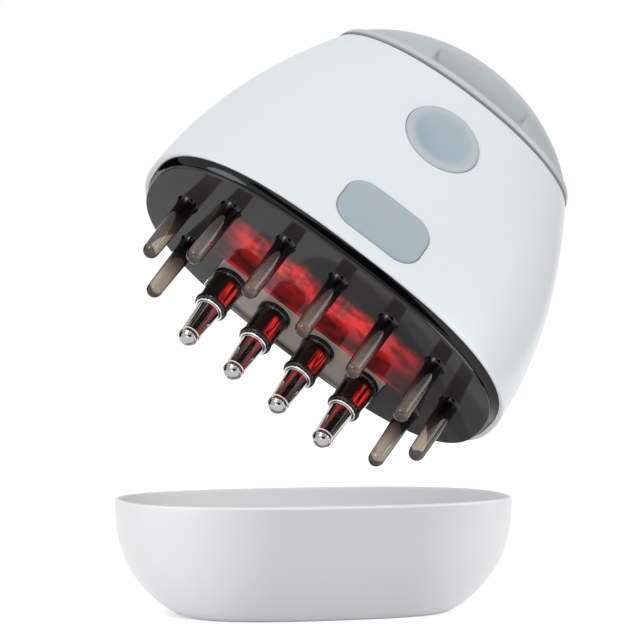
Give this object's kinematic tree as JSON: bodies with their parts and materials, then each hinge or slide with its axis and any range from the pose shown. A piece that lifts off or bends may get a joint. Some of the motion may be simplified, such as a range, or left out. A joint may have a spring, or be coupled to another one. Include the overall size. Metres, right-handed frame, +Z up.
{
  "type": "electric scalp massager",
  "caption": "Hand-held scalp massager with comb teeth, roller-ball liquid pins, a power and a dose button, a pull-off lid and its dust cap standing below it",
  "frame": {"origin": "middle of the dust cap's flat base, on the surface that it stands on", "axes": "+Z up; X along the dust cap's long side, with +X towards the lid end of the handset above it; the buttons face -Y"},
  "size_m": [0.1132, 0.0709, 0.1418],
  "materials": {
    "shell_white": "satin",
    "lid_grey": "satin",
    "button_grey": "satin",
    "smoke_plastic": "polished, smoky see-through",
    "collar_black": "polished",
    "nozzle_beige": "polished, see-through",
    "pin_chrome": "polished",
    "ball_steel": "mirror polished",
    "cap_frost": "frosted",
    "spring_steel": "bright wire",
    "clear_plastic": "clear moulding",
    "frame_plastic": "moulded",
    "board_green": "solder mask",
    "part_black": "moulded",
    "light_red": "lit",
    "screw_steel": "plated",
    "soft_grey": "silicone",
    "hose_clear": "silicone",
    "cell_sleeve": "shrink sleeve",
    "wire_red": "insulation",
    "wire_black": "insulation",
    "socket_metal": "plated",
    "motor_steel": "plated",
    "weight_metal": "sintered"
  },
  "bodies": {
    "dust_cap": {"dust_cap": "cap_frost"},
    "handset": {"outer_shell": "shell_white", "comb_plate": "smoke_plastic", "nozzle_bar": "nozzle_beige", "pin_collars": "collar_black", "collar_rings": "pin_chrome", "pin_springs": "spring_steel", "nozzle_manifold": "clear_plastic", "light_diffuser": "light_red", "light_board": "board_green", "light_diodes": "light_red", "liquid_tank": "clear_plastic", "chassis": "frame_plastic", "chassis_screws": "screw_steel", "main_board": "board_green", "board_parts": "part_black", "board_screws": "screw_steel", "tact_switch": "part_black", "pump_cup": "clear_plastic", "pump_spring": "spring_steel", "tank_hose": "hose_clear", "nozzle_hose": "hose_clear", "battery_cell": "cell_sleeve", "battery_leads": "wire_red", "charge_board": "board_green", "charge_socket": "socket_metal", "motor_mount": "part_black", "motor_can": "motor_steel", "motor_leads": "wire_black"},
    "lid": {"lid": "lid_grey", "lid_seal": "soft_grey", "filler_plug": "soft_grey"},
    "power_button": {"power_button": "button_grey", "switch_plunger": "part_black"},
    "dose_button": {"dose_button": "button_grey", "pump_piston": "soft_grey"},
    "motor_weight": {"motor_weight": "weight_metal"},
    "pin_1": {"pin_1": "pin_chrome"},
    "ball_1": {"ball_1": "ball_steel"},
    "pin_2": {"pin_2": "pin_chrome"},
    "ball_2": {"ball_2": "ball_steel"},
    "pin_3": {"pin_3": "pin_chrome"},
    "ball_3": {"ball_3": "ball_steel"},
    "pin_4": {"pin_4": "pin_chrome"},
    "ball_4": {"ball_4": "ball_steel"}
  },
  "joints": [
    {"name": "handset_lift", "type": "slide", "parent": "dust_cap", "child": "handset", "axis": [0, 0, 1], "range_m": [0, 0.06]},
    {"name": "lid_pull", "type": "slide", "parent": "handset", "child": "lid", "axis": [0.6438, 0.4124, 0.6445], "range_m": [0, 0.022]},
    {"name": "power_press", "type": "slide", "parent": "handset", "child": "power_button", "axis": [-0.1828, 0.7971, -0.5756], "range_m": [0, 0.0006], "stiffness_N_per_m": 2000, "springref_m": -0.0004},
    {"name": "dose_press", "type": "slide", "parent": "handset", "child": "dose_button", "axis": [-0.1702, 0.8079, -0.5642], "range_m": [0, 0.002], "stiffness_N_per_m": 1000, "springref_m": -0.0008, "deforming": ["pump_spring"]},
    {"name": "pin_1_press", "type": "slide", "parent": "handset", "child": "pin_1", "axis": [0.6438, 0.4124, 0.6445], "range_m": [0, 0.002], "stiffness_N_per_m": 400, "springref_m": -0.0015, "deforming": ["pin_springs"]},
    {"name": "pin_2_press", "type": "slide", "parent": "handset", "child": "pin_2", "axis": [0.6438, 0.4124, 0.6445], "range_m": [0, 0.002], "stiffness_N_per_m": 400, "springref_m": -0.0015, "deforming": ["pin_springs"]},
    {"name": "pin_3_press", "type": "slide", "parent": "handset", "child": "pin_3", "axis": [0.6438, 0.4124, 0.6445], "range_m": [0, 0.002], "stiffness_N_per_m": 400, "springref_m": -0.0015, "deforming": ["pin_springs"]},
    {"name": "pin_4_press", "type": "slide", "parent": "handset", "child": "pin_4", "axis": [0.6438, 0.4124, 0.6445], "range_m": [0, 0.002], "stiffness_N_per_m": 400, "springref_m": -0.0015, "deforming": ["pin_springs"]},
    {"name": "ball_1_roll", "type": "hinge", "parent": "pin_1", "child": "ball_1", "pos_m": [-0.03634, -0.0124, 0.06733], "axis": [0.7609, -0.2561, -0.5962], "continuous": true},
    {"name": "ball_2_roll", "type": "hinge", "parent": "pin_2", "child": "ball_2", "pos_m": [-0.02637, -0.01575, 0.05952], "axis": [0.7609, -0.2561, -0.5962], "continuous": true},
    {"name": "ball_3_roll", "type": "hinge", "parent": "pin_3", "child": "ball_3", "pos_m": [-0.0164, -0.01911, 0.05171], "axis": [0.7609, -0.2561, -0.5962], "continuous": true},
    {"name": "ball_4_roll", "type": "hinge", "parent": "pin_4", "child": "ball_4", "pos_m": [-0.00643, -0.02246, 0.0439], "axis": [0.7609, -0.2561, -0.5962], "continuous": true},
    {"name": "motor_spin", "type": "hinge", "parent": "handset", "child": "motor_weight", "pos_m": [-0.02413, -0.00335, 0.11063], "axis": [0.6438, 0.4124, 0.6445], "continuous": true}
  ]
}
